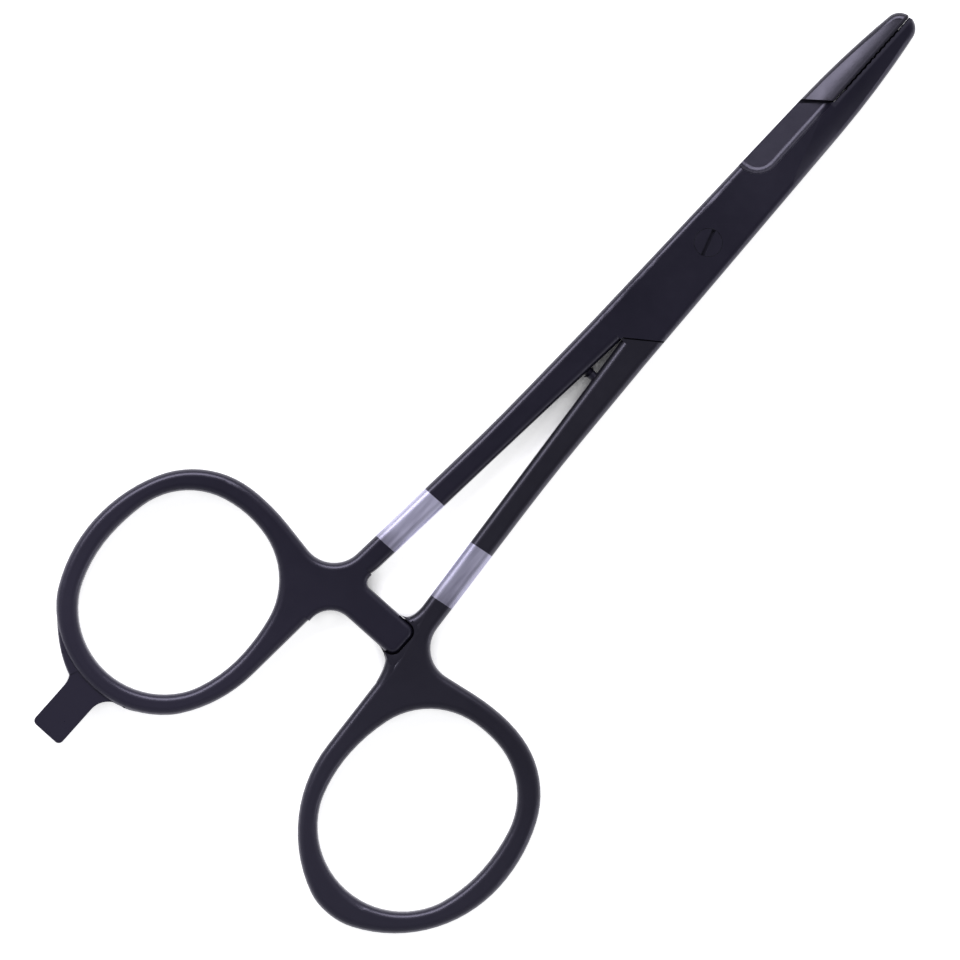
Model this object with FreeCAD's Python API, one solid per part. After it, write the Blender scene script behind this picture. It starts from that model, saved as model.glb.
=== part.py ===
import FreeCAD
import Part
import math
import os
from FreeCAD import Vector

# Scissor-clamp hemostat forceps, closed and lying flat. Sizes are in millimetres.
# The origin is on the pivot axis at the underside of the joint, +Y runs to the jaw tip, +Z is up.
# A half is always drawn as the upper one, with its ring on the -X side. The lower half is the
# same form turned over about the line x = 0 at mid height.

# Thickness of the joint, of the grip from the crotch to the rings, and of the jaw tip
joint_thickness = 4.8
grip_thickness = 3.5
tip_thickness = 2.4

# Joint and jaws from above: half widths, and distances from the pivot
crotch_distance = 17.2
crotch_half_width = 4.54
notch_half_width = 3.45
jaw_length = 40.2
jaw_side_radius = 135.0
tip_radius = 2.12
joint_flat_length = 5.0
joint_flat_blend = 200.0
joint_rounding = 0.9

# Round backs of the jaws: where they begin, where they are complete, and their radii
crown_start = 7.0
crown_full = 22.5
crown_radius = 6.0
crown_blend_radius = 60.0

# Lap joint: the edges where one half gives way to the other, and their clearances
shoulder_distance = 16.8
shoulder_angle = 36.0
notch_distance = 25.0
notch_angle = 43.0
clamp_back_angle = 38.0
lap_clearance = 0.08
seam_clearance = 0.1
shoulder_clearance = 0.14
notch_clearance = 0.15

# Scissor blade: the hollow-ground bevel that leaves a thin land at the cutting edge
bevel_distance = 10.25
bevel_heel_radius = 3.25
bevel_outer_x = 3.56
bevel_root_x = 0.12
bevel_front_x = 0.02
bevel_angle = 9.0
bevel_fall = 1.7
bevel_hollow = 1.1
edge_land = 0.75

# Clamp faces: rounded rims and cross serrations
clamp_rounding = 0.35
serration_pitch = 0.95
serration_depth = 0.15
serration_margin = 1.7

# Shanks: distances of the outer and inner edges from the middle line
shank_length = 44.4
shank_bend_share = 0.44
shank_bend_outer = 5.28
shank_bend_radius = 300.0
shank_end_outer = 7.24
shank_end_inner = 3.9
grip_rounding = 1.0

# Necks: the outer edge turns in a hollow to the ring's crest, the inner edge leans out to the ring
neck_outer_radius = 4.4
neck_outer_angle = 9.8
neck_crest_radius = 28.0
neck_inner_angle = 3.9
neck_inner_drop = 7.2
neck_inner_radius = 8.0
neck_waist_radius = 6.0

# Ratchet arms and their teeth
arm_setback = 2.3
arm_width = 4.8
arm_reach = 5.5
arm_corner = 1.3
arm_root_x = 3.9
arm_root_radius = 1.0
arm_root_depth = 1.5
arm_heel_x = 6.0
arm_heel_radius = 3.4
arm_heel_depth = 3.75
arm_inset = 1.2
arm_rounding = 0.8
arm_end_clearance = 0.28
tooth_pitch = 1.4
tooth_count = 4
tooth_depth = 0.5
tooth_clearance = 0.16

# Finger rings: centre of the opening from the middle line and below the shank's end, half sizes of
# the opening, and the bar around it: near and far from the shank, and on its outer and inner side
tab_ring = {"x": 21.46, "drop": 19.84, "half_width": 11.78, "half_length": 14.0,
            "near": 3.0, "far": 2.75, "outer": 2.96, "inner": 2.83}
plain_ring = {"x": 21.34, "drop": 20.22, "half_width": 11.67, "half_length": 13.98,
              "near": 3.05, "far": 3.88, "outer": 3.21, "inner": 2.99}

# Each quarter of a ring's ovals is three tangent arcs: the radii at its side, its corner and its end
tab_ring["opening"] = {"near": (28.0, 10.3, 14.8), "far": (19.3, 9.8, 11.4)}
tab_ring["outside"] = {"near_outer": (22.0, 12.8, 23.3), "far_outer": (21.0, 10.0, 14.5),
                       "far_inner": (19.6, 9.5, 14.0)}
plain_ring["opening"] = {"near": (24.0, 10.4, 17.5), "far": (20.5, 9.7, 11.3)}
plain_ring["outside"] = {"near_outer": (22.9, 12.6, 18.9), "far_outer": (18.7, 9.0, 12.5),
                         "far_inner": (18.8, 7.0, 16.0)}

# Screwdriver tab on the ring of the upper half
tab_x = 22.15
tab_width = 4.8
tab_length = 8.6
tab_root_thickness = 2.3
tab_end_thickness = 1.0
tab_corner = 0.7
tab_root_radius = 3.0
tab_flare = 3.2
tab_seat = 0.8

# Pivot screw: countersunk and slotted, running in the upper half, held in the lower half
screw_head_diameter = 3.7
screw_head_land = 0.35
screw_head_angle = 90.0
screw_shank_diameter = 2.5
screw_clearance = 0.05
thread_clearance = 0.02
slot_width = 0.5
slot_depth = 0.55
slot_angle = 107.4

# Eye-cleaning needle: seated in the upper half's shank, point parked in the other shank
needle_distance = 23.25
needle_diameter = 1.25
needle_point_diameter = 0.45
needle_collar_diameter = 1.9
needle_collar_length = 0.45
needle_seat_depth = 1.6
needle_reach = 1.35
needle_clearance = 0.12
pocket_clearance = 0.2

mid = joint_thickness / 2
grip_top = mid + grip_thickness / 2
seam = seam_clearance / 2
crotch_y = -crotch_distance
shank_end_y = crotch_y - shank_length
arm_front_y = shank_end_y - arm_setback
arm_back_y = arm_front_y - arm_width
clamp_back_y = notch_distance + notch_clearance
serration_start = clamp_back_y + serration_margin
beyond = 2 * jaw_length + 2 * shank_length
same = 1e-6
close = 1e-3
level = 0.75
upright = 0.1


def slope(angle):
    return math.tan(math.radians(angle))


def line(a, b):
    return Part.LineSegment(Vector(*a), Vector(*b)).toShape()


def arc_about(centre, a, b):
    """The shorter arc from a to b about a centre."""
    spoke = a - centre
    crown = centre + (spoke + b - centre).normalize() * spoke.Length
    return Part.Arc(a, crown, b).toShape()


def meeting(a, a_way, b, b_way):
    """Where the line through a along a_way meets the line through b along b_way, in plan."""
    span = (b.x - a.x) * b_way.y - (b.y - a.y) * b_way.x
    return a + a_way * (span / (a_way.x * b_way.y - a_way.y * b_way.x))


def rounded_chain(corners):
    """Edges from the first point to the last, with each corner between them rounded by its radius."""
    edges = []
    last = corners[0][0]
    for i in range(1, len(corners) - 1):
        here, radius = corners[i]
        before = (corners[i - 1][0] - here).normalize()
        after = (corners[i + 1][0] - here).normalize()
        half_angle = before.getAngle(after) / 2
        setback = radius / math.tan(half_angle)
        start = here + before * setback
        centre = here + (before + after).normalize() * (radius / math.sin(half_angle))
        edges.append(line(last, start))
        if radius > 0:
            edges.append(arc_about(centre, start, here + after * setback))
        last = here + after * setback
    edges.append(line(last, corners[-1][0]))
    return edges


def face_of(edges):
    return Part.Face(Part.Wire(Part.__sortEdges__(edges)))


def rounded_face(corners):
    """Plan face of straight edges whose corners, given as x, y and radius, are rounded."""
    start = (Vector(*corners[0][:2], 0) + Vector(*corners[-1][:2], 0)) / 2
    chain = [(start, 0)] + [(Vector(x, y, 0), radius) for x, y, radius in corners] + [(start, 0)]
    return face_of(rounded_chain(chain))


def polygon_face(points):
    return Part.Face(Part.makePolygon([Vector(*p) for p in points + points[:1]]))


def prism(outline, low, high):
    """Upright solid over a plan outline of straight edges."""
    return polygon_face([(x, y, low) for x, y in outline]).extrude(Vector(0, 0, high - low))


def side_profile(upper_edges, back_y, front_y):
    """Solid between upper edges, drawn in the YZ plane, and their reflection about mid height."""
    lower_edges = [e.mirror(Vector(0, 0, mid), Vector(0, 0, 1)) for e in upper_edges]
    ends = []
    for y in (back_y, front_y):
        height = [v.Z for e in upper_edges for v in e.Vertexes if abs(v.Y - y) < same][0]
        ends.append(line((-beyond, y, height), (-beyond, y, joint_thickness - height)))
    return face_of(upper_edges + lower_edges + ends).extrude(Vector(2 * beyond, 0, 0))


def rims(block):
    """Edges between an upper or lower surface and an upright wall, apart from the crotch end."""
    chosen = []
    for edge in block.Edges:
        steepness = []
        for face in block.ancestorsOfType(edge, Part.Face):
            u, v = face.Surface.parameter(edge.valueAt((edge.FirstParameter + edge.LastParameter) / 2))
            steepness.append(abs(face.normalAt(u, v).z))
        is_rim = len(steepness) == 2 and max(steepness) > level and min(steepness) < upright
        if is_rim and abs(edge.CenterOfMass.y - crotch_y) > close:
            chosen.append(edge)
    return chosen


def turned_over(shape):
    turned = shape.copy()
    turned.rotate(Vector(0, 0, mid), Vector(0, 1, 0), 180)
    return turned


def jaws_outline():
    """Both jaws and the joint from above, from the crotch to the round tip."""
    tip_centre = Vector(0, jaw_length - tip_radius, 0)
    crotch = Vector(crotch_half_width, crotch_y, 0)
    way = (Vector(notch_half_width, notch_distance, 0) - crotch).normalize()
    inward = Vector(-way.y, way.x, 0)
    off_side = (tip_centre - crotch).dot(inward)
    bow = math.sqrt((off_side - tip_radius) * (2 * jaw_side_radius - tip_radius - off_side))
    bow_start = crotch + way * ((tip_centre - crotch).dot(way) - bow)
    bow_centre = bow_start + inward * jaw_side_radius
    tip = tip_centre + (tip_centre - bow_centre).normalize() * tip_radius
    right = [line(crotch, bow_start), arc_about(bow_centre, bow_start, tip)]
    left = [e.mirror(Vector(0, 0, 0), Vector(1, 0, 0)) for e in right]
    end = Part.Arc(tip, Vector(0, jaw_length, 0), Vector(-tip.x, tip.y, 0)).toShape()
    return face_of(right + [end] + left + [line(crotch, (-crotch_half_width, crotch_y, 0))])


def crown_waste():
    """What is ground away above mid height to leave the jaws' backs round, fading out over the blades."""
    fall = (joint_thickness - tip_thickness) / 2 / (jaw_length - joint_flat_length)
    way = Vector(0, 1, -fall).normalize()
    crest = Vector(0, crown_full, joint_thickness - fall * (crown_full - joint_flat_length))
    blend_centre = crest + Vector(0, -way.z, way.y) * crown_blend_radius
    back = blend_centre.y - crown_start
    drop = math.sqrt(crown_blend_radius ** 2 - back ** 2)
    start = Vector(0, crown_start, blend_centre.z - drop)
    front = crest + way * jaw_length
    axis_z = crest.z - crown_radius
    corners = [(0, front.y, axis_z), (0, start.y, axis_z)]
    profile = face_of([arc_about(blend_centre, start, crest), line(crest, front), line(front, corners[0]),
                       line(corners[0], corners[1]), line(corners[1], start)])
    kept = profile.revolve(Vector(0, 0, axis_z), Vector(0, 1, 0), 360)
    block = Part.makeBox(2 * joint_thickness, jaw_length, joint_thickness,
                         Vector(-joint_thickness, crown_start, mid))
    return block.cut(kept)


def jaws_block():
    """Both jaws and the joint as one block with rounded rims, before they are parted."""
    block = jaws_outline().extrude(Vector(0, 0, joint_thickness))
    flat_back = Vector(-beyond, -joint_flat_length, joint_thickness)
    crotch = Vector(-beyond, crotch_y, grip_top)
    sweep = (flat_back.y - crotch.y) / 2
    fall = (flat_back.z - crotch.z) / 2
    sweep_radius = (sweep ** 2 + fall ** 2) / (2 * fall)
    halfway = (flat_back + crotch) / 2
    upper_edges = [arc_about(crotch + Vector(0, 0, sweep_radius), crotch, halfway),
                   arc_about(flat_back - Vector(0, 0, sweep_radius), halfway, flat_back)]
    upper_edges += rounded_chain([(flat_back, 0),
                                  (Vector(-beyond, joint_flat_length, joint_thickness), joint_flat_blend),
                                  (Vector(-beyond, jaw_length, mid + tip_thickness / 2), 0)])
    block = block.common(side_profile(upper_edges, crotch_y, jaw_length))
    waste = crown_waste()
    block = block.cut([waste, turned_over(waste)])
    return block.makeFillet(joint_rounding, rims(block))


def upper_share():
    """Space that the upper half may fill in the jaws and the joint."""
    wide = 3 * crotch_half_width
    low_shoulder = shoulder_distance + shoulder_clearance / math.cos(math.radians(shoulder_angle))
    shoulder_rise = wide * slope(shoulder_angle)
    leaf = prism([(-wide, crotch_y), (-seam, crotch_y), (-seam, -shoulder_distance),
                  (wide, -shoulder_distance + shoulder_rise), (wide, beyond), (seam, beyond),
                  (seam, notch_distance), (-wide, notch_distance - wide * slope(notch_angle))],
                 mid + lap_clearance / 2, beyond)
    shank = prism([(-wide, crotch_y), (-seam, crotch_y), (-seam, -low_shoulder),
                   (-wide, -low_shoulder + shoulder_rise)], -beyond, beyond)
    clamp = prism([(seam, beyond), (seam, clamp_back_y),
                   (wide, clamp_back_y - wide * slope(clamp_back_angle)), (wide, beyond)], -beyond, beyond)
    return leaf.fuse([shank, clamp]).removeSplitter()


def bevel_tool():
    """Grinding tool of the scissor blade: a sloping floor with a hollow along its root."""
    wide = 3 * crotch_half_width
    outline = rounded_face([
        (-wide, bevel_distance, 0), (-bevel_root_x, bevel_distance, bevel_heel_radius),
        (-bevel_front_x, notch_distance, 0), (-wide, notch_distance, 0)])
    tool = outline.extrude(Vector(0, 0, 2 * joint_thickness))
    above_floor = Part.makeBox(beyond, beyond, beyond, Vector(-beyond / 2, -beyond / 2, 0))
    above_floor.rotate(Vector(0, 0, 0), Vector(1, 0, 0), -bevel_fall)
    above_floor.rotate(Vector(0, 0, 0), Vector(0, 1, 0), -bevel_angle)
    above_floor.translate(Vector(-bevel_outer_x, bevel_distance, mid + edge_land))
    tool = tool.common(above_floor)
    floor = min(tool.Faces, key=lambda f: f.CenterOfMass.z)
    hollow = [e for e in floor.Edges
              if e.CenterOfMass.x > close - wide and e.CenterOfMass.y < notch_distance - close]
    return tool.makeFillet(bevel_hollow, hollow)


def jaw(block, first):
    """The upper half's share of the jaws: leaf, scissor blade and clamp jaw, serrated from first on."""
    part = block.common(upper_share()).cut(bevel_tool())
    clamp_faces = [f for f in part.Faces if abs(f.CenterOfMass.x - seam) < close]
    clamp_face = max(clamp_faces, key=lambda f: f.CenterOfMass.y)
    ridge = [e for e in clamp_face.Edges if e.CenterOfMass.y > clamp_back_y + clamp_rounding]
    part = part.makeFillet(clamp_rounding, ridge)
    count = int((jaw_length - serration_margin - first) / serration_pitch)
    for i in range(count):
        y = first + i * serration_pitch
        part = part.cut(prism([(-seam, y), (seam, y), (seam + serration_depth, y + serration_pitch / 2),
                               (seam, y + serration_pitch), (-seam, y + serration_pitch)], -beyond, beyond))
    return part


def shank_inner_x(y):
    """Distance of the shank's inner edge from the middle line."""
    return seam + (shank_end_inner - seam) * (crotch_y - y) / shank_length


def oval_quarter(centre, across, along, radii, side, end):
    """A quarter of an oval from its side, across from the centre, to its end, along from the centre.

    Gives the ends, the centres and the joints of its three tangent arcs."""
    side_radius, corner_radius, end_radius = radii
    side_centre = centre + Vector(side * (across - side_radius), 0, 0)
    end_centre = centre + Vector(0, end * (along - end_radius), 0)
    span = end_centre - side_centre
    side_reach = side_radius - corner_radius
    foot = (side_reach ** 2 - (end_radius - corner_radius) ** 2 + span.Length ** 2) / (2 * span.Length)
    outward = Vector(-span.y, span.x, 0).normalize() * math.sqrt(side_reach ** 2 - foot ** 2)
    corner_centre = side_centre + span.normalize() * foot + outward * (side * end)
    return {"side": centre + Vector(side * across, 0, 0), "end": centre + Vector(0, end * along, 0),
            "side_centre": side_centre, "corner_centre": corner_centre, "end_centre": end_centre,
            "side_joint": side_centre + (corner_centre - side_centre).normalize() * side_radius,
            "end_joint": end_centre + (corner_centre - end_centre).normalize() * end_radius}


def quarter_arcs(quarter):
    return [arc_about(quarter["side_centre"], quarter["side"], quarter["side_joint"]),
            arc_about(quarter["corner_centre"], quarter["side_joint"], quarter["end_joint"]),
            arc_about(quarter["end_centre"], quarter["end_joint"], quarter["end"])]


def ring_centre(ring):
    return Vector(-ring["x"], shank_end_y - ring["drop"], 0)


def ring_opening(ring):
    edges = []
    for side in (1, -1):
        for end, place in ((1, "near"), (-1, "far")):
            edges += quarter_arcs(oval_quarter(ring_centre(ring), ring["half_width"], ring["half_length"],
                                               ring["opening"][place], side, end))
    return face_of(edges)


def grip_outline(ring):
    """Shank, neck and ring from above, without the ratchet arm, in straight lines and tangent arcs."""
    centre = ring_centre(ring)
    outer = ring["half_width"] + ring["outer"]
    inner = ring["half_width"] + ring["inner"]
    near = ring["half_length"] + ring["near"]
    far = ring["half_length"] + ring["far"]
    near_outer = oval_quarter(centre, outer, near, ring["outside"]["near_outer"], -1, 1)
    far_outer = oval_quarter(centre, outer, far, ring["outside"]["far_outer"], -1, -1)
    far_inner = oval_quarter(centre, inner, far, ring["outside"]["far_inner"], 1, -1)

    outer_lean = math.radians(neck_outer_angle)
    crest_centre = near_outer["end"] - Vector(0, neck_crest_radius, 0)
    crest_way = Vector(math.cos(outer_lean), -math.sin(outer_lean), 0)
    crest_end = crest_centre + Vector(-crest_way.y, crest_way.x, 0) * neck_crest_radius
    inner_lean = math.radians(neck_inner_angle)
    side_radius = ring["outside"]["far_inner"][0]
    side_way = Vector(math.sin(inner_lean), math.cos(inner_lean), 0)
    side_start = far_inner["side_centre"] + Vector(side_way.y, -side_way.x, 0) * side_radius
    far_inner["side"] = side_start

    crotch = Vector(-crotch_half_width, crotch_y, 0)
    bend = Vector(-shank_bend_outer, crotch_y - shank_length * shank_bend_share, 0)
    shank_end = Vector(-shank_end_outer, shank_end_y, 0)
    neck_outer = meeting(bend, shank_end - bend, crest_end, crest_way)
    neck_inner = meeting(side_start, side_way, Vector(0, shank_end_y - neck_inner_drop, 0), Vector(1, 0, 0))
    waist = Vector(-shank_end_inner, shank_end_y, 0)
    inner_crotch = Vector(-seam, crotch_y, 0)

    edges = rounded_chain([(crotch, 0), (bend, shank_bend_radius), (neck_outer, neck_outer_radius),
                           (crest_end, 0)])
    edges.append(arc_about(crest_centre, crest_end, near_outer["end"]))
    edges += quarter_arcs(near_outer) + quarter_arcs(far_outer) + quarter_arcs(far_inner)
    edges += rounded_chain([(side_start, 0), (neck_inner, neck_inner_radius), (waist, neck_waist_radius),
                            (inner_crotch, 0)])
    return face_of(edges + [line(inner_crotch, crotch)]).cut(ring_opening(ring)).Faces[0]


def grip(ring):
    """Shank, neck and ring with rounded rims."""
    block = grip_outline(ring).extrude(Vector(0, 0, grip_thickness))
    block.translate(Vector(0, 0, grip_top - grip_thickness))
    return block.makeFillet(grip_rounding, rims(block))


def ratchet_arm():
    """The upper half's arm, which reaches over the other neck, with its teeth on the underside."""
    low = mid + tooth_clearance / 2
    root_x = -arm_root_x
    inside_x = -shank_end_outer + grip_rounding
    front_y = arm_front_y + arm_root_depth
    heel_y = arm_back_y - arm_heel_depth
    outline = rounded_face([
        (inside_x, front_y, 0), (root_x, front_y, 0), (root_x, arm_front_y, arm_root_radius),
        (arm_reach, arm_front_y, arm_corner), (arm_reach, arm_back_y, arm_corner),
        (-arm_heel_x, arm_back_y, arm_heel_radius), (-arm_heel_x, heel_y, 0),
        (-arm_heel_x - arm_inset, heel_y, 0)])
    arm = outline.extrude(Vector(0, 0, grip_top - low))
    arm.translate(Vector(0, 0, low))
    rim = [e for e in arm.Edges if abs(e.CenterOfMass.z - grip_top) < same and e.CenterOfMass.x > inside_x
           and heel_y + same < e.CenterOfMass.y < front_y - same]
    arm = arm.makeFillet(arm_rounding, rim)
    for i in range(tooth_count):
        x = (i - tooth_count / 2) * tooth_pitch
        gap = polygon_face([(x, -beyond, low), (x + tooth_pitch, -beyond, low),
                            (x + tooth_pitch, -beyond, low + tooth_depth)])
        arm = arm.cut(gap.extrude(Vector(0, 2 * beyond, 0)))
    return arm


def arm_recess():
    """Room in the upper half's neck, on its underside, for the end of the other arm."""
    reach = arm_reach + arm_end_clearance
    front_y = arm_front_y + arm_end_clearance
    back_y = arm_back_y - arm_heel_radius
    return prism([(-reach, back_y), (beyond, back_y), (beyond, front_y), (-reach, front_y)],
                 -beyond, mid + tooth_clearance / 2)


def tab(ring):
    """Flat screwdriver blade that grows out of the ring's far side."""
    ring_end_y = shank_end_y - ring["drop"] - ring["half_length"] - ring["far"]
    root_y = ring_end_y + ring["far"] / 2
    flare_y = ring_end_y + tab_seat
    end_y = ring_end_y - tab_length
    left = -tab_x - tab_width / 2
    right = -tab_x + tab_width / 2
    outline = rounded_face([
        (left - tab_flare, root_y, 0), (left - tab_flare, flare_y, 0), (left, flare_y, tab_root_radius),
        (left, end_y, tab_corner), (right, end_y, tab_corner),
        (right, flare_y, tab_root_radius), (right + tab_flare, flare_y, 0), (right + tab_flare, root_y, 0)])
    block = outline.extrude(Vector(0, 0, joint_thickness))
    face = line((-beyond, root_y, mid + tab_root_thickness / 2),
                (-beyond, end_y, mid + tab_end_thickness / 2))
    return block.common(side_profile([face], root_y, end_y))


def screw_form(growth, low, high):
    """The screw's shank and countersunk head, grown by a clearance, between two heights."""
    shank = screw_shank_diameter / 2 + growth
    head = screw_head_diameter / 2 + growth
    cone_top = joint_thickness - screw_head_land
    cone_bottom = cone_top - (head - shank) / slope(screw_head_angle / 2)
    profile = polygon_face([(0, 0, low), (shank, 0, low), (shank, 0, cone_bottom), (head, 0, cone_top),
                            (head, 0, high), (0, 0, high)])
    return profile.revolve(Vector(0, 0, 0), Vector(0, 0, 1), 360)


def pivot_screw():
    screw = screw_form(0, 0, joint_thickness)
    slot = Part.makeBox(2 * screw_head_diameter, slot_width, joint_thickness,
                        Vector(-screw_head_diameter, -slot_width / 2, joint_thickness - slot_depth))
    slot.rotate(Vector(0, 0, 0), Vector(0, 0, 1), slot_angle)
    return screw.cut(slot)


def along_x(radius, from_x, to_x):
    return Part.makeCylinder(radius, to_x - from_x, Vector(from_x, -needle_distance, mid), Vector(1, 0, 0))


def needle_seat():
    """Hole in the upper half's shank for the needle."""
    gap = shank_inner_x(-needle_distance)
    return along_x(needle_diameter / 2 + thread_clearance, -gap - needle_seat_depth, gap)


def needle_pocket():
    """Hole in the lower half's shank for the needle's point, in that half's turned-over drawing."""
    gap = shank_inner_x(-needle_distance)
    depth = needle_reach + pocket_clearance
    return along_x(needle_diameter / 2 + pocket_clearance, -gap - depth, gap)


def eye_cleaner():
    """Needle turned from one wire, with a collar that stops against the shank."""
    gap = shank_inner_x(-needle_distance)
    radius = needle_diameter / 2
    collar_x = -gap + needle_clearance
    seat_x = -gap - needle_seat_depth + needle_clearance
    tip_x = gap + needle_reach
    outline = [(seat_x, 0), (seat_x, radius), (collar_x, radius), (collar_x, needle_collar_diameter / 2),
               (collar_x + needle_collar_length, radius), (gap, radius),
               (tip_x, needle_point_diameter / 2), (tip_x, 0)]
    profile = polygon_face([(x, r - needle_distance, mid) for x, r in outline])
    return profile.revolve(Vector(0, -needle_distance, mid), Vector(1, 0, 0), 360)


def half(ring, jaws, first_serration):
    body = grip(ring).fuse([jaw(jaws, first_serration), ratchet_arm()])
    return body.cut(arm_recess()).removeSplitter()


def upper_half(jaws):
    body = half(tab_ring, jaws, serration_start).fuse(tab(tab_ring))
    bore = screw_form(screw_clearance, 0, 2 * joint_thickness)
    return body.cut(bore).cut(needle_seat())


def lower_half(jaws):
    meshed = serration_start + serration_pitch / 2
    body = turned_over(half(plain_ring, jaws, meshed).cut(needle_pocket()))
    return body.cut(Part.makeCylinder(screw_shank_diameter / 2 + thread_clearance, joint_thickness))


def main():
    jaws = jaws_block()
    parts = {
        "upper_half": upper_half(jaws),
        "lower_half": lower_half(jaws),
        "pivot_screw": pivot_screw(),
        "eye_cleaner_pin": eye_cleaner(),
    }
    os.makedirs("parts", exist_ok=True)
    for name, shape in parts.items():
        print(name, "valid" if shape.isValid() else "INVALID", len(shape.Solids), round(shape.Volume, 1))
        shape.exportStep("parts/" + name + ".step")


main()
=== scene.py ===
import math

import bmesh
import bpy
from mathutils import Matrix, Vector


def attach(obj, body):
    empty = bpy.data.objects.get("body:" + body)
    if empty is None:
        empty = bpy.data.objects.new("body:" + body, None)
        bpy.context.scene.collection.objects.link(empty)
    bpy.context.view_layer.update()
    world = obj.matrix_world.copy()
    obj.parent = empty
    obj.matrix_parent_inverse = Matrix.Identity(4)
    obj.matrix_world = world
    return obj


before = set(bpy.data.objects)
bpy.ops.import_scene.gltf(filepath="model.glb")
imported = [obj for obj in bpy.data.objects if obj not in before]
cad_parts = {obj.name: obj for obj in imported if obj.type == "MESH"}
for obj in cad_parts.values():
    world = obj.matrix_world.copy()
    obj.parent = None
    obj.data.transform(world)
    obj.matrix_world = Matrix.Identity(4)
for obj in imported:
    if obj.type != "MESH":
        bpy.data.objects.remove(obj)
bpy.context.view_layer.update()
bpy.context.scene.view_settings.view_transform = "Standard"
print("frame loaded:", ", ".join(sorted(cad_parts)))


# node helpers: a value may be a number, a colour or another node's output
def addNode(tree, kind, values=None, **settings):
    node = tree.nodes.new(kind)
    for key, value in settings.items():
        setattr(node, key, value)
    for key, value in (values or {}).items():
        if isinstance(value, bpy.types.NodeSocket):
            tree.links.new(value, node.inputs[key])
        else:
            node.inputs[key].default_value = value
    return node


def addMath(tree, operation, first, second=0.0, clamp=False):
    node = addNode(tree, "ShaderNodeMath", {0: first, 1: second}, operation=operation, use_clamp=clamp)
    return node.outputs[0]


def addRange(tree, value, fromMin, fromMax, toMin=0.0, toMax=1.0):
    node = addNode(tree, "ShaderNodeMapRange", {
        "Value": value, "From Min": fromMin, "From Max": fromMax, "To Min": toMin, "To Max": toMax})
    return node.outputs["Result"]


def addNoise(tree, place, scale, detail, roughness=0.5):
    node = addNode(tree, "ShaderNodeTexNoise", {
        "Vector": place, "Scale": scale, "Detail": detail, "Roughness": roughness})
    return node.outputs["Fac"]


def addRamp(tree, factor, stops):
    ramp = addNode(tree, "ShaderNodeValToRGB", {"Fac": factor})
    elements = ramp.color_ramp.elements
    while len(elements) < len(stops):
        elements.new(0.5)
    for element, (place, colour) in zip(elements, stops):
        element.position = place
        element.color = (*colour, 1.0)
    return ramp.outputs["Color"]


def addBlend(tree, factor, low, high, kind="RGBA"):
    first = {"RGBA": 6, "FLOAT": 2}[kind]
    node = addNode(tree, "ShaderNodeMix", {0: factor, first: low, first + 1: high}, data_type=kind)
    return node.outputs[{"RGBA": 2, "FLOAT": 0}[kind]]


def placeGroup(tree, group, values):
    return addNode(tree, "ShaderNodeGroup", values, node_tree=group).outputs


def newGroup(name, inputs, outputs):
    group = bpy.data.node_groups.new(name, "ShaderNodeTree")
    for label, kind in inputs:
        group.interface.new_socket(name=label, in_out="INPUT", socket_type="NodeSocket" + kind)
    for label, kind in outputs:
        group.interface.new_socket(name=label, in_out="OUTPUT", socket_type="NodeSocket" + kind)
    return group, addNode(group, "NodeGroupInput").outputs, addNode(group, "NodeGroupOutput").inputs


def newMaterial(name):
    material = bpy.data.materials.new(name)
    material.use_nodes = True
    material.node_tree.nodes.clear()
    return material, material.node_tree


# camera straight above, turned so that the jaws point up and to the right
camera = {
    "turn": 41.78,                       # degrees about the vertical
    "centre": (-0.00160, -0.04349),      # what the middle of the frame looks at
    "viewWidth": 0.12703,                # metres across the frame at the grip's height
    "height": 1.1,                       # above the grip
    "gripHeight": 0.0033,
    "sensor": 36.0,
    "farthest": 20.0,
}


def makeCamera():
    data = bpy.data.cameras.new("Camera")
    data.sensor_width = camera["sensor"]
    data.lens = camera["sensor"] * camera["height"] / camera["viewWidth"]
    data.clip_end = camera["farthest"]
    eye = bpy.data.objects.new("Camera", data)
    eye.location = (*camera["centre"], camera["gripHeight"] + camera["height"])
    eye.rotation_euler = (0.0, 0.0, math.radians(camera["turn"]))
    bpy.context.scene.collection.objects.link(eye)
    bpy.context.scene.camera = eye


makeCamera()
print("camera ready")

# studio: white floor, soft box toward the top of the picture, dim sky overhead
studio = {
    "floorSize": 6.0,
    "floorDrop": 0.0001,
    "floorColour": (0.80, 0.80, 0.80),
    "floorGlow": 0.86,                   # lifts what the camera sees of the floor to white
    "paintedShadeReach": 0.0045,              # painted shadow: steel this near takes the glow from the floor
    "paintedShadeShut": 0.22,                 # open share of the view at which the glow is gone
    "paintedShadeOpen": 0.48,                 # and at which it is whole
    "paintedShadeSamples": 8,
    "skyLow": (0.80, 0.81, 0.86),
    "skyHigh": (0.20, 0.20, 0.24),
    "skyLowTo": 0.40,                    # heights between which the sky darkens
    "skyHighFrom": 0.92,
    "skyStrength": 0.55,
    "lampColour": (0.93, 0.91, 1.0),
    # degrees round from the frame's right and down from overhead, distance, length, width, power
    "lamps": (
        ("SoftBox", 108.0, 43.0, 0.90, 0.95, 0.40, 6.6),
        ("LowFill", -30.0, 74.0, 1.10, 0.60, 0.25, 1.0),
    ),
}


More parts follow.
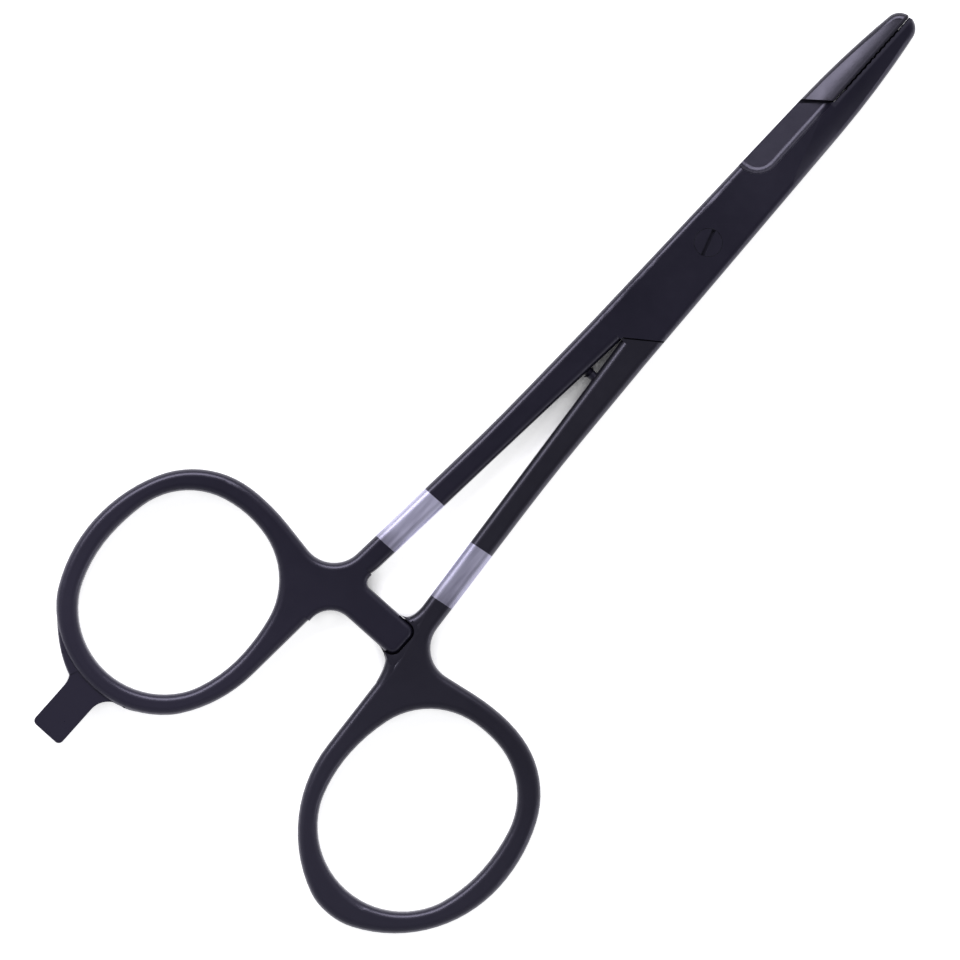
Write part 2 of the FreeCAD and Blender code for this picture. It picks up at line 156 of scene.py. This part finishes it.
def makeFloor():
    material, tree = newMaterial("StudioFloor")
    path = addNode(tree, "ShaderNodeLightPath").outputs
    seen = addMath(tree, "ADD", path["Is Camera Ray"], path["Is Glossy Ray"])
    seen = addMath(tree, "ADD", seen, path["Is Transmission Ray"], clamp=True)
    # painted shadow: the floor's glow fades where steel is near, darkening it under, between and beside the
    # pieces
    openShare = addNode(tree, "ShaderNodeAmbientOcclusion", {"Distance": studio["paintedShadeReach"]},
                        samples=studio["paintedShadeSamples"]).outputs["AO"]
    lit = addRange(tree, openShare, studio["paintedShadeShut"], studio["paintedShadeOpen"],
                   toMax=studio["floorGlow"])
    strength = addMath(tree, "MULTIPLY", lit, seen)
    surface = addNode(tree, "ShaderNodeBsdfDiffuse", {"Color": (*studio["floorColour"], 1.0)})
    glow = addNode(tree, "ShaderNodeEmission", {"Strength": strength})
    both = addNode(tree, "ShaderNodeAddShader", {0: surface.outputs[0], 1: glow.outputs[0]})
    addNode(tree, "ShaderNodeOutputMaterial", {"Surface": both.outputs[0]})
    half = studio["floorSize"] / 2
    corners = [(-half, -half, 0), (half, -half, 0), (half, half, 0), (-half, half, 0)]
    mesh = bpy.data.meshes.new("Floor")
    mesh.from_pydata(corners, [], [(0, 1, 2, 3)])
    mesh.materials.append(material)
    floor = bpy.data.objects.new("Floor", mesh)
    floor.location.z = -studio["floorDrop"]
    bpy.context.scene.collection.objects.link(floor)


def makeSky():
    world = bpy.data.worlds.new("Studio")
    world.use_nodes = True
    tree = world.node_tree
    tree.nodes.clear()
    place = addNode(tree, "ShaderNodeTexCoord").outputs["Generated"]
    height = addNode(tree, "ShaderNodeSeparateXYZ", {0: place}).outputs["Z"]
    sky = addRamp(tree, height, ((0.0, studio["skyLow"]), (studio["skyLowTo"], studio["skyLow"]),
                                 (studio["skyHighFrom"], studio["skyHigh"])))
    dim = addNode(tree, "ShaderNodeBackground", {"Color": sky, "Strength": studio["skyStrength"]})
    white = addNode(tree, "ShaderNodeBackground", {"Color": (1.0, 1.0, 1.0, 1.0), "Strength": 1.0})
    seen = addNode(tree, "ShaderNodeLightPath").outputs["Is Camera Ray"]
    mix = addNode(tree, "ShaderNodeMixShader", {0: seen, 1: dim.outputs[0], 2: white.outputs[0]})
    addNode(tree, "ShaderNodeOutputWorld", {"Surface": mix.outputs[0]})
    bpy.context.scene.world = world


def makeLamps():
    aim = Vector((*camera["centre"], 0.0))
    for name, around, down, distance, length, width, power in studio["lamps"]:
        data = bpy.data.lights.new(name, "AREA")
        data.shape = "RECTANGLE"
        data.size = length
        data.size_y = width
        data.energy = power
        data.color = studio["lampColour"]
        turn = math.radians(around + camera["turn"])
        tilt = math.radians(down)
        away = Vector((math.cos(turn) * math.sin(tilt), math.sin(turn) * math.sin(tilt), math.cos(tilt)))
        level = Vector((-away.y, away.x, 0.0)).normalized()      # the long side lies level
        lamp = bpy.data.objects.new(name, data)
        lamp.location = aim + away * distance
        lamp.rotation_euler = Matrix((level, away.cross(level), away)).transposed().to_euler()
        bpy.context.scene.collection.objects.link(lamp)


makeFloor()
makeSky()
makeLamps()
print("studio ready")

# patterns in the coating, the same on every piece
coatingPattern = {
    "cloudDetail": 4.0,
    "cloudBreak": 0.55,
    "cloudFrom": 0.30,                   # noise between which a cloud goes from dark to light
    "cloudTo": 0.70,
    "fineScale": 900.0,
    "fineDetail": 2.0,
    "seamFar": 0.00060,                  # duller steel by the jaws' seam: metres from the middle plane
    "seamNear": 0.00040,
    "seamBack": 0.0245,                  # and in front of the pivot
    "grainDetail": 3.0,
    "pitDetail": 1.0,
    "pitFloor": 0.30,
    "pitRim": 0.42,
    "edgeFaint": 0.985,                  # likeness of the rounded normal to the face's own
    "edgeFull": 0.86,
    "edgeSamples": 4,
    "patchDetail": 3.0,
    "patchFrom": 0.42,
    "patchTo": 0.62,
}


def makeSurfaceTone():
    group, given, result = newGroup(
        "SurfaceTone",
        (("Position", "Vector"), ("Dark", "Color"), ("Light", "Color"), ("Cloud Scale", "Float"),
         ("Roughness", "Float"), ("Roughness Spread", "Float"), ("Painted Ring Light", "Color"),
         ("Painted Ring Light From", "Float"), ("Painted Ring Light To", "Float"), ("Seam Roughness", "Float")),
        (("Color", "Color"), ("Roughness", "Float")))
    cloud = addNoise(group, given["Position"], given["Cloud Scale"], coatingPattern["cloudDetail"],
                     coatingPattern["cloudBreak"])
    even = addRange(group, cloud, coatingPattern["cloudFrom"], coatingPattern["cloudTo"])
    split = addNode(group, "ShaderNodeSeparateXYZ", {0: given["Position"]}).outputs
    # painted light: the coating turns paler toward the rings, along Y
    paintedRingLight = addRange(group, split["Y"], given["Painted Ring Light From"], given["Painted Ring Light To"])
    tone = addBlend(group, even, given["Dark"], given["Light"])
    group.links.new(addBlend(group, paintedRingLight, tone, given["Painted Ring Light"]), result["Color"])
    away = addMath(group, "ABSOLUTE", split["X"])
    near = addRange(group, away, coatingPattern["seamFar"], coatingPattern["seamNear"])
    front = addMath(group, "GREATER_THAN", split["Y"], coatingPattern["seamBack"])
    seam = addMath(group, "MULTIPLY", near, front)
    fine = addNoise(group, given["Position"], coatingPattern["fineScale"], coatingPattern["fineDetail"])
    swing = addMath(group, "SUBTRACT", addMath(group, "ADD", even, fine), 1.0)     # each is about a half
    spread = addMath(group, "MULTIPLY", swing, given["Roughness Spread"])
    plain = addMath(group, "ADD", given["Roughness"], spread)
    roughness = addBlend(group, seam, plain, given["Seam Roughness"], kind="FLOAT")
    group.links.new(roughness, result["Roughness"])
    return group


def makeFineGrain():
    group, given, result = newGroup(
        "FineGrain",
        (("Position", "Vector"), ("Grain Scale", "Float"), ("Pit Scale", "Float"), ("Pits", "Float")),
        (("Height", "Float"),))
    grain = addNoise(group, given["Position"], given["Grain Scale"], coatingPattern["grainDetail"])
    pit = addNoise(group, given["Position"], given["Pit Scale"], coatingPattern["pitDetail"])
    sunk = addRange(group, pit, coatingPattern["pitFloor"], coatingPattern["pitRim"], toMin=-1.0, toMax=0.0)
    height = addMath(group, "ADD", grain, addMath(group, "MULTIPLY", sunk, given["Pits"]))
    group.links.new(height, result["Height"])
    return group


def makeEdgeWear():
    group, given, result = newGroup(
        "EdgeWear",
        (("Position", "Vector"), ("Reach", "Float"), ("Patch Scale", "Float"), ("Amount", "Float")),
        (("Mask", "Float"),))
    soft = addNode(group, "ShaderNodeBevel", {"Radius": given["Reach"]},
                   samples=coatingPattern["edgeSamples"]).outputs["Normal"]
    plain = addNode(group, "ShaderNodeNewGeometry").outputs["Normal"]
    likeness = addNode(group, "ShaderNodeVectorMath", {0: soft, 1: plain},
                       operation="DOT_PRODUCT").outputs["Value"]
    edge = addRange(group, likeness, coatingPattern["edgeFaint"], coatingPattern["edgeFull"])
    patch = addNoise(group, given["Position"], given["Patch Scale"], coatingPattern["patchDetail"])
    worn = addRange(group, patch, coatingPattern["patchFrom"], coatingPattern["patchTo"])
    mask = addMath(group, "MULTIPLY", addMath(group, "MULTIPLY", edge, worn), given["Amount"], clamp=True)
    group.links.new(mask, result["Mask"])
    return group


def makeBareBand():
    group, given, result = newGroup(
        "BareBand",
        (("Position", "Vector"), ("Side", "Float"), ("Top", "Float"), ("Bottom", "Float"),
         ("Slant", "Float"), ("Middle", "Float"), ("Softness", "Float")),
        (("Mask", "Float"), ("Along", "Float")))
    split = addNode(group, "ShaderNodeSeparateXYZ", {0: given["Position"]}).outputs
    side = addMath(group, "MULTIPLY", split["X"], given["Side"])
    across = addMath(group, "SUBTRACT", side, given["Middle"])
    along = addMath(group, "SUBTRACT", split["Y"], addMath(group, "MULTIPLY", across, given["Slant"]))
    toTop = addMath(group, "SUBTRACT", given["Top"], along)
    fromBottom = addMath(group, "SUBTRACT", along, given["Bottom"])
    below = addMath(group, "DIVIDE", toTop, given["Softness"], clamp=True)
    above = addMath(group, "DIVIDE", fromBottom, given["Softness"], clamp=True)
    onSide = addMath(group, "GREATER_THAN", side, 0.0)
    inside = addMath(group, "MULTIPLY", addMath(group, "MULTIPLY", below, above), onSide)
    height = addMath(group, "SUBTRACT", given["Top"], given["Bottom"])
    group.links.new(inside, result["Mask"])
    group.links.new(addMath(group, "DIVIDE", fromBottom, height, clamp=True), result["Along"])
    return group


surfaceTone = makeSurfaceTone()
fineGrain = makeFineGrain()
edgeWear = makeEdgeWear()
bareBand = makeBareBand()
print("shared effects ready")

# bare steel of the bands, where the coating was masked off
steelBand = {
    "dark": (0.52, 0.51, 0.65),
    "light": (0.70, 0.69, 0.84),
    "brushScale": (1300.0, 110.0, 300.0),    # streaks run along the shank
    "brushDetail": 3.0,
    "streakDark": 0.30,                      # noise at which a streak is darkest and lightest
    "streakLight": 0.68,
    "smudge": (0.16, 0.15, 0.19),
    "smudgeScale": 260.0,
    "smudgeDetail": 2.0,
    "smudgeHeight": 0.30,                    # share of the band, from its end by the ring
    "stain": 0.9,
    "roughness": 0.46,
    "roughnessSpread": 0.05,
    "roughFrom": 0.30,
    "roughTo": 0.70,
    "metal": 0.80,
    "brushing": 0.6,
}


def makeCoated(name, look, band=None):
    material, tree = newMaterial(name)
    place = addNode(tree, "ShaderNodeTexCoord").outputs["Object"]
    tone = placeGroup(tree, surfaceTone, {
        "Position": place, "Dark": (*look["dark"], 1.0), "Light": (*look["light"], 1.0),
        "Cloud Scale": look["cloudScale"], "Roughness": look["roughness"],
        "Roughness Spread": look["roughnessSpread"], "Painted Ring Light": (*look["paintedRingLight"], 1.0),
        "Painted Ring Light From": look["paintedRingLightFrom"], "Painted Ring Light To": look["paintedRingLightTo"],
        "Seam Roughness": look["seamRoughness"]})
    wear = placeGroup(tree, edgeWear, {
        "Position": place, "Reach": look["wearReach"], "Patch Scale": look["wearPatch"],
        "Amount": look["wearAmount"]})["Mask"]
    grain = placeGroup(tree, fineGrain, {
        "Position": place, "Grain Scale": look["grainScale"], "Pit Scale": look["pitScale"],
        "Pits": look["pits"]})["Height"]
    colour = addBlend(tree, wear, tone["Color"], (*look["worn"], 1.0))
    roughness = tone["Roughness"]
    metallic = addMath(tree, "MULTIPLY", wear, look["wornMetal"])
    if band:
        mark = placeGroup(tree, bareBand, {
            "Position": place, "Side": band["side"], "Top": band["top"], "Bottom": band["bottom"],
            "Slant": band["slant"], "Middle": band["middle"], "Softness": band["softness"]})
        brush = addNode(tree, "ShaderNodeMapping", {"Vector": place, "Scale": steelBand["brushScale"]})
        streak = addNoise(tree, brush.outputs[0], 1.0, steelBand["brushDetail"])
        # painted shade: a band's steel colours are scaled down by this factor
        dark, light = ([part * band["paintedShade"] for part in steelBand[key]] for key in ("dark", "light"))
        steel = addRamp(tree, streak, ((steelBand["streakDark"], dark), (steelBand["streakLight"], light)))
        smudge = addNoise(tree, place, steelBand["smudgeScale"], steelBand["smudgeDetail"])
        low = addRange(tree, mark["Along"], steelBand["smudgeHeight"], 0.0)
        stain = addMath(tree, "MULTIPLY", addMath(tree, "MULTIPLY", low, smudge), steelBand["stain"],
                        clamp=True)
        steel = addBlend(tree, stain, steel, (*steelBand["smudge"], 1.0))
        colour = addBlend(tree, mark["Mask"], colour, steel)
        steelRough = addRange(tree, streak, steelBand["roughFrom"], steelBand["roughTo"],
                              steelBand["roughness"] - steelBand["roughnessSpread"],
                              steelBand["roughness"] + steelBand["roughnessSpread"])
        roughness = addBlend(tree, mark["Mask"], roughness, steelRough, kind="FLOAT")
        metallic = addBlend(tree, mark["Mask"], metallic, steelBand["metal"], kind="FLOAT")
        scratches = addMath(tree, "MULTIPLY", streak, steelBand["brushing"])
        grain = addMath(tree, "ADD", grain, addMath(tree, "MULTIPLY", mark["Mask"], scratches))
    bump = addNode(tree, "ShaderNodeBump", {
        "Height": grain, "Strength": look["bump"], "Distance": look["bumpDistance"]})
    shader = addNode(tree, "ShaderNodeBsdfPrincipled", {
        "Base Color": colour, "Roughness": roughness, "Metallic": metallic,
        "Normal": bump.outputs["Normal"], "Specular IOR Level": look["specular"],
        "Specular Tint": (*look["sheen"], 1.0)})
    addNode(tree, "ShaderNodeOutputMaterial", {"Surface": shader.outputs[0]})
    return material


def dress(name, material):
    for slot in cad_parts[name].material_slots:
        slot.link = "OBJECT"
        slot.material = material


# upper half: black coating with its band across the left shank
upperHalf = {
    "dark": (0.0090, 0.0082, 0.0155),
    "light": (0.0130, 0.0118, 0.0215),
    "cloudScale": 70.0,
    "paintedRingLight": (0.0275, 0.0250, 0.0410),     # painted light: ring and tab painted paler than the joint
    "paintedRingLightFrom": -0.057,
    "paintedRingLightTo": -0.090,
    "sheen": (0.85, 0.82, 1.0),
    "specular": 0.70,
    "roughness": 0.31,
    "roughnessSpread": 0.06,
    "seamRoughness": 0.80,
    "worn": (0.10, 0.10, 0.115),
    "wornMetal": 0.5,
    "wearReach": 0.00012,
    "wearPatch": 420.0,
    "wearAmount": 0.35,
    "grainScale": 3200.0,
    "pitScale": 700.0,
    "pits": 0.5,
    "bump": 0.10,
    "bumpDistance": 0.00004,
    "band": {"side": -1.0, "top": -0.04917, "bottom": -0.05817, "slant": 0.0, "middle": 0.0048,
             "softness": 0.00005, "paintedShade": 1.0},
}
dress("upper_half", makeCoated("CoatedUpperHalf", upperHalf, upperHalf["band"]))

# lower half: the same coating, a little more neutral, with its band across the right shank, whose steel is
# painted darker as painted shade
lowerHalf = dict(upperHalf)
lowerHalf.update({
    "dark": (0.0095, 0.0092, 0.0125),
    "light": (0.0132, 0.0126, 0.0180),
    "paintedRingLight": (0.0265, 0.0248, 0.0380),
    "band": {"side": 1.0, "top": -0.05015, "bottom": -0.05906, "slant": 0.140, "middle": 0.0048,
             "softness": 0.00005, "paintedShade": 0.80},
})
dress("lower_half", makeCoated("CoatedLowerHalf", lowerHalf, lowerHalf["band"]))

# pivot screw: a little duller, and rubbed at the rim
pivotScrew = dict(upperHalf)
pivotScrew.update({"wearAmount": 0.5, "wearReach": 0.00008, "roughness": 0.34, "grainScale": 4500.0})
dress("pivot_screw", makeCoated("CoatedPivotScrew", pivotScrew))

# needle between the shanks
needle = dict(upperHalf)
needle.update({"wearAmount": 0.45, "wearReach": 0.00006, "roughness": 0.28, "grainScale": 5200.0})
dress("eye_cleaner_pin", makeCoated("CoatedNeedle", needle))
print("coating ready")

# webs: small fillets of the forgings, which ride with a half
millimetre = 0.001
webFinish = {
    "curveSteps": 18,
    "roundSteps": 6,
    "arcSteps": 10,
    "rimSteps": 5,
    "rimProfile": 0.5,                       # a round one
    "mostRounding": 0.95,                    # of a web's depth
    "placeDigits": 7,                        # decimals of a metre by which a corner is found again
    "sharpAngle": 35.0,
    "mergeDistance": 1e-7,
}


def curvePoints(start, corner, end):
    points = []
    for i in range(webFinish["curveSteps"] + 1):
        t = i / webFinish["curveSteps"]
        points.append(Vector([(1 - t) ** 2 * a + 2 * t * (1 - t) * b + t * t * c
                              for a, b, c in zip(start, corner, end)]))
    return points


def finishWeb(name, shape, body, material):
    bmesh.ops.remove_doubles(shape, verts=shape.verts, dist=webFinish["mergeDistance"])
    bmesh.ops.dissolve_degenerate(shape, edges=shape.edges, dist=webFinish["mergeDistance"])
    bmesh.ops.recalc_face_normals(shape, faces=shape.faces)
    bmesh.ops.triangulate(shape, faces=shape.faces)
    mesh = bpy.data.meshes.new(name)
    shape.to_mesh(mesh)
    shape.free()
    mesh.shade_smooth()
    mesh.set_sharp_from_angle(angle=math.radians(webFinish["sharpAngle"]))
    mesh.materials.append(material)
    piece = bpy.data.objects.new(name, mesh)
    bpy.context.scene.collection.objects.link(piece)
    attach(piece, body)


# section of a web from its edge inward: how far in, and how high
def webSection(web, depth):
    rounding = min(web["rounding"], depth * webFinish["mostRounding"])
    step = 90 / webFinish["roundSteps"]
    turns = [math.radians(step * k) for k in range(webFinish["roundSteps"] + 1)]
    section = [(rounding * (1 - math.cos(turn)), web["high"] - rounding * (1 - math.sin(turn)))
               for turn in turns]
    section += [(depth, web["high"]), (depth, web["low"])]
    if web["both"]:
        section += [(rounding * (1 - math.cos(turn)), web["low"] + rounding * (1 - math.sin(turn)))
                    for turn in reversed(turns)]
    else:
        section.append((0.0, web["low"]))
    return section


# a rounded edge that follows a curve, with the steel on its left, as far in as its depth or its limit
def makeRoundedWeb(name, web, body, material):
    path = curvePoints(*web["edge"])
    shape = bmesh.new()
    rows = []
    for i, place in enumerate(path):
        way = path[min(i + 1, len(path) - 1)] - path[max(i - 1, 0)]
        inward = Vector((-way.y, way.x)).normalized()
        depth = web["depth"]
        if "limit" in web and inward.y:
            reach = (web["limit"] - place.y) / inward.y
            if reach >= 0:
                depth = min(depth, reach)
        rows.append([shape.verts.new(((place.x + inward.x * d) * millimetre,
                                      (place.y + inward.y * d) * millimetre, z * millimetre))
                     for d, z in webSection(web, depth)])
    count = len(rows[0])
    for first, second in zip(rows, rows[1:]):
        for k in range(count):
            shape.faces.new((first[k], first[(k + 1) % count], second[(k + 1) % count], second[k]))
    shape.faces.new(rows[0])
    shape.faces.new(list(reversed(rows[-1])))
    finishWeb(name, shape, body, material)


def raisePlate(shape, loop, low, high):
    face = shape.faces.new([shape.verts.new((x * millimetre, y * millimetre, low * millimetre))
                            for x, y in loop])
    raised = bmesh.ops.extrude_face_region(shape, geom=[face])["geom"]
    top = [part for part in raised if isinstance(part, bmesh.types.BMVert)]
    bmesh.ops.translate(shape, verts=top, vec=(0.0, 0.0, (high - low) * millimetre))


def roundedPlace(x, y):
    return round(x, webFinish["placeDigits"]), round(y, webFinish["placeDigits"])


def makeNeckFilling(name, web, body, material):
    outer = []
    for centre, first, last in web["arcs"]:
        for i in range(webFinish["arcSteps"] + 1):
            turn = math.radians(first + (last - first) * i / webFinish["arcSteps"])
            outer.append((centre[0] + web["radius"] * math.cos(turn),
                          centre[1] + web["radius"] * math.sin(turn)))
    shape = bmesh.new()
    raisePlate(shape, web["before"] + outer + web["after"], web["low"], web["high"])
    onEdge = {roundedPlace(x * millimetre, y * millimetre) for x, y in outer}
    middle = (web["low"] + web["high"]) / 2 * millimetre
    rim = [edge for edge in shape.edges
           if all(v.co.z > middle and roundedPlace(v.co.x, v.co.y) in onEdge for v in edge.verts)]
    bmesh.ops.bevel(shape, geom=rim, offset=web["rounding"] * millimetre, segments=webFinish["rimSteps"],
                    profile=webFinish["rimProfile"], affect="EDGES", clamp_overlap=True)
    finishWeb(name, shape, body, material)


def makeJawFace(name, web, body, material):
    left = [(web["left"], web["back"]), (web["left"], web["first"])]
    for i in range(web["teeth"]):
        start = web["first"] + i * web["pitch"]
        left += [(web["left"] - web["depth"], start + web["pitch"] / 2),
                 (web["left"], start + web["pitch"])]
    left.append((web["left"], web["front"]))
    shape = bmesh.new()
    raisePlate(shape, left + [(web["right"], web["front"]), (web["right"], web["back"])],
               web["low"], web["high"])
    finishWeb(name, shape, body, material)


# all in millimetres from above: an edge is a curve from start to end by way of a corner
tabWebLeft = {
    "edge": ((-30.95, -94.65), (-27.95, -97.76), (-24.95, -98.95)),
    "depth": 1.6,
    "low": 1.24,
    "high": 3.56,
    "rounding": 0.45,
    "both": True,                            # rounded below as well as above
}
tabWebRight = dict(tabWebLeft)
tabWebRight["edge"] = ((-17.75, -97.55), (-16.45, -97.54), (-15.00, -96.61))

neckWebFront = {
    "edge": ((3.845, -61.00), (3.95, -63.70), (2.40, -63.76)),
    "depth": 1.35,
    "limit": -63.77,                         # stops short of the other half's arm
    "low": 2.36,
    "high": 4.136,
    "rounding": 1.0,
    "both": False,
}
neckWebBack = dict(neckWebFront)
neckWebBack.update({"edge": ((4.10, -68.84), (5.45, -69.60), (5.955, -72.60)), "limit": -68.83,
                    "high": 4.138})

# fills the recess round the end of the other half's arm
neckFilling = {
    "before": [(4.10, -63.30), (4.10, -63.77)],
    "arcs": (((4.20, -65.20), 90.0, 0.0), ((4.20, -67.40), 0.0, -90.0)),
    "radius": 1.43,
    "after": [(4.45, -69.00), (5.60, -69.60), (6.30, -69.60), (6.30, -63.30)],
    "low": 2.36,
    "high": 4.133,
    "rounding": 0.30,
}

# closes the running gap between the clamp jaws, with teeth that fit the lower jaw's
jawFace = {
    "left": -0.030,
    "right": 0.35,
    "back": 25.40,
    "front": 40.05,
    "first": 27.325,
    "pitch": 0.95,
    "teeth": 11,
    "depth": 0.15,
    "low": 1.90,
    "high": 2.90,
}

upperWebs = dict(upperHalf)
upperWebs["wearAmount"] = 0.0
coatedUpperWebs = makeCoated("CoatedUpperWebs", upperWebs)
lowerWebs = dict(lowerHalf)
lowerWebs["wearAmount"] = 0.0
coatedLowerWebs = makeCoated("CoatedLowerWebs", lowerWebs)
makeRoundedWeb("TabWebLeft", tabWebLeft, "upper", coatedUpperWebs)
makeRoundedWeb("TabWebRight", tabWebRight, "upper", coatedUpperWebs)
makeJawFace("JawFace", jawFace, "upper", coatedUpperWebs)
makeRoundedWeb("NeckWebFront", neckWebFront, "lower", coatedLowerWebs)
makeRoundedWeb("NeckWebBack", neckWebBack, "lower", coatedLowerWebs)
makeNeckFilling("NeckFilling", neckFilling, "lower", coatedLowerWebs)
print("webs ready")
